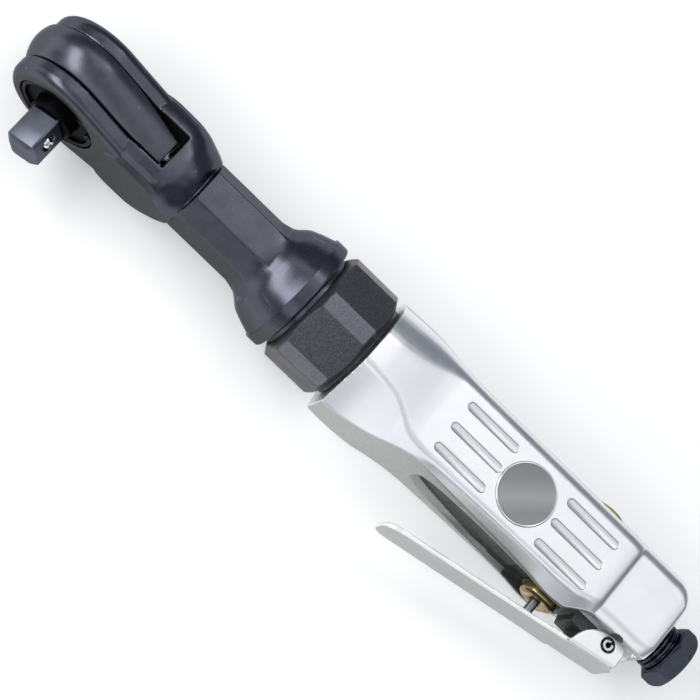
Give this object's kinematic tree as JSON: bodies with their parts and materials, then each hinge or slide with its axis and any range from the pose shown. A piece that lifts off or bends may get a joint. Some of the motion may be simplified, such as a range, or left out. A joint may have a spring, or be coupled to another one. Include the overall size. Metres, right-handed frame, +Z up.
{
  "type": "air ratchet",
  "caption": "Air-driven ratchet wrench: slim black forged head with a square drive and yoke, hex clamp nut, polished alloy grip with grooves, and a hinged throttle lever.",
  "frame": {"origin": "centre of the bounding box at the plane the tool rests on, the tool lying on its side", "axes": "+X along the tool axis from the ratchet head to the air inlet; -Y the side of the square drive and the throttle lever; +Z up, out of the side face that carries the badge"},
  "size_m": [0.2592, 0.0522, 0.0387],
  "materials": {
    "black_steel": "satin black oxide",
    "phosphate": "matt black phosphate",
    "bright_steel": "ground",
    "polished_alloy": "tumbled and polished",
    "zinc_plate": "dull zinc plate",
    "brass": "turned",
    "vane_composite": "matt",
    "badge_face": "satin grey"
  },
  "bodies": {
    "handle": {"motor_housing": "polished_alloy", "ratchet_housing": "black_steel", "clamp_nut": "phosphate", "ring_gear": "bright_steel", "gear_spacer": "bright_steel", "front_plate": "bright_steel", "front_bearing": "bright_steel", "cylinder": "bright_steel", "rear_plate": "bright_steel", "rear_bearing": "bright_steel", "needle_bearing": "bright_steel", "thrust_washer": "bright_steel", "retaining_ring": "bright_steel", "badge": "badge_face", "inlet_bushing": "black_steel", "inlet_screen": "bright_steel", "lever_pin": "black_steel", "valve_bushing": "brass", "valve_plug": "brass", "valve_spring": "bright_steel"},
    "yoke": {"yoke": "black_steel"},
    "anvil": {"anvil": "black_steel", "pawl_front": "bright_steel", "pawl_rear": "bright_steel", "pawl_pin_front": "bright_steel", "pawl_pin_rear": "bright_steel", "detent_spring": "bright_steel"},
    "detent_ball": {"detent_ball": "bright_steel"},
    "reverse_lever": {"reverse_lever": "black_steel"},
    "crank": {"crankshaft": "bright_steel", "drive_bushing": "bright_steel"},
    "planet_1": {"planet_1": "bright_steel"},
    "planet_2": {"planet_2": "bright_steel"},
    "planet_3": {"planet_3": "bright_steel"},
    "rotor": {"rotor": "bright_steel", "vane_1": "vane_composite", "vane_2": "vane_composite", "vane_3": "vane_composite", "vane_4": "vane_composite"},
    "lever": {"throttle_lever": "zinc_plate"},
    "valve": {"valve_stem": "bright_steel"}
  },
  "joints": [
    {"name": "anvil_spin", "type": "hinge", "parent": "handle", "child": "anvil", "pos_m": [-0.1104, 0.00727, 0.01935], "axis": [0, 1, 0], "continuous": true},
    {"name": "yoke_swing", "type": "hinge", "parent": "handle", "child": "yoke", "pos_m": [-0.1104, 0.00727, 0.01935], "axis": [0, 1, 0], "range_deg": [-3, 3]},
    {"name": "reverse_turn", "type": "hinge", "parent": "anvil", "child": "reverse_lever", "pos_m": [-0.1104, 0.01927, 0.01935], "axis": [0, 1, 0], "range_deg": [0, 40]},
    {"name": "ball_detent", "type": "slide", "parent": "anvil", "child": "detent_ball", "axis": [-0.8755, 0, -0.4833], "range_m": [0, 0.0007], "stiffness_N_per_m": 600, "springref_m": -0.0004, "deforming": ["detent_spring"]},
    {"name": "crank_spin", "type": "hinge", "parent": "handle", "child": "crank", "pos_m": [-0.0604, 0.00727, 0.01935], "axis": [1, 0, 0], "continuous": true},
    {"name": "rotor_spin", "type": "hinge", "parent": "handle", "child": "rotor", "pos_m": [0.0096, 0.00727, 0.01935], "axis": [1, 0, 0], "continuous": true},
    {"name": "planet_1_spin", "type": "hinge", "parent": "crank", "child": "planet_1", "pos_m": [-0.0274, 0.01447, 0.01935], "axis": [1, 0, 0], "continuous": true},
    {"name": "planet_2_spin", "type": "hinge", "parent": "crank", "child": "planet_2", "pos_m": [-0.0274, 0.00367, 0.02559], "axis": [1, 0, 0], "continuous": true},
    {"name": "planet_3_spin", "type": "hinge", "parent": "crank", "child": "planet_3", "pos_m": [-0.0274, 0.00367, 0.01312], "axis": [1, 0, 0], "continuous": true},
    {"name": "lever_press", "type": "hinge", "parent": "handle", "child": "lever", "pos_m": [0.1074, -0.00683, 0.01935], "axis": [0, 0, -1], "range_deg": [0, 10.5], "stiffness_Nm_per_rad": 1.2, "springref_deg": -8.59},
    {"name": "valve_slide", "type": "slide", "parent": "handle", "child": "valve", "axis": [0, 1, 0], "range_m": [0, 0.0045], "deforming": ["valve_spring"]}
  ],
  "couplings": [
    {"joint": "rotor_spin", "follows": "crank_spin", "ratio": 5.3333},
    {"joint": "planet_1_spin", "follows": "crank_spin", "ratio": -2.6},
    {"joint": "planet_2_spin", "follows": "crank_spin", "ratio": -2.6},
    {"joint": "planet_3_spin", "follows": "crank_spin", "ratio": -2.6},
    {"joint": "valve_slide", "follows": "lever_press", "m_per_rad": 0.02347}
  ]
}
